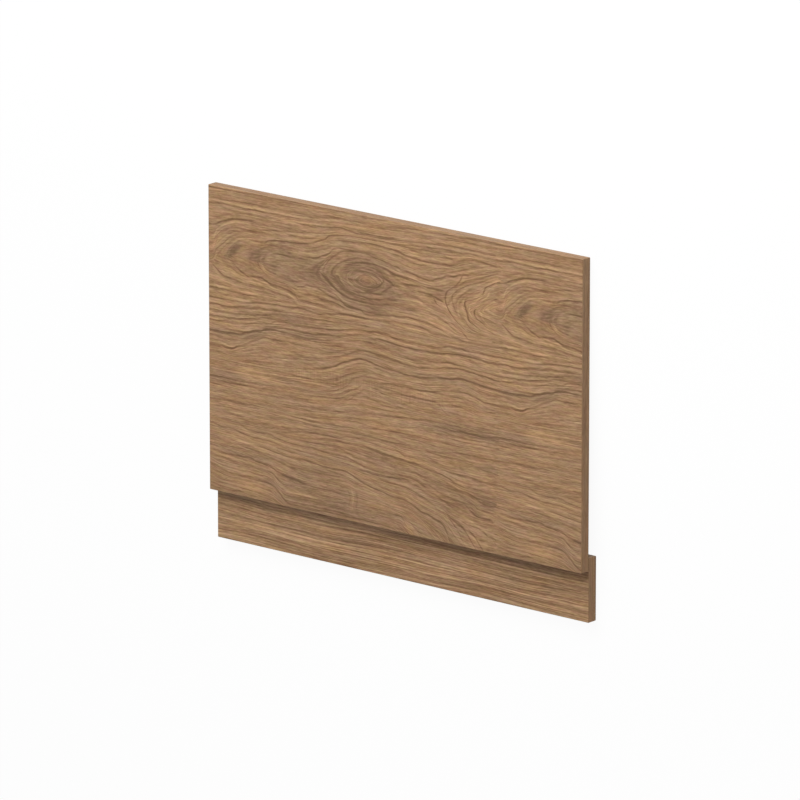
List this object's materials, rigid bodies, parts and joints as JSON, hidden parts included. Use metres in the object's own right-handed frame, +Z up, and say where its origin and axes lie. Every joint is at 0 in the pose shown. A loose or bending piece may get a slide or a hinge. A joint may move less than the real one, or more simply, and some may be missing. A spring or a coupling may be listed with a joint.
{
  "type": "bath end panel",
  "caption": "Flat oak-decor end panel for a bath, with a plinth board screwed behind its lower edge and set back to leave a toe recess.",
  "frame": {"origin": "on the floor that the panel lies on, under the middle of its bounding box", "axes": "+Z up, out of the decor face of the panel as it lies; +X along its width; +Y towards its top edge. The plinth lifts one end, so the boards slope 2.24 degrees about X: the exact normals are in the mounts"},
  "size_m": [0.73, 0.561, 0.0367],
  "materials": {
    "oak_decor": "satin oak-grain decor on 18 mm board, lightly textured along the grain",
    "zinc_plated_steel": "bright zinc plating"
  },
  "bodies": {
    "root": {"face_board": "oak_decor", "plinth_board": "oak_decor", "plinth_screw_1": "zinc_plated_steel", "plinth_screw_2": "zinc_plated_steel", "plinth_screw_3": "zinc_plated_steel", "plinth_screw_4": "zinc_plated_steel"}
  },
  "joints": []
}
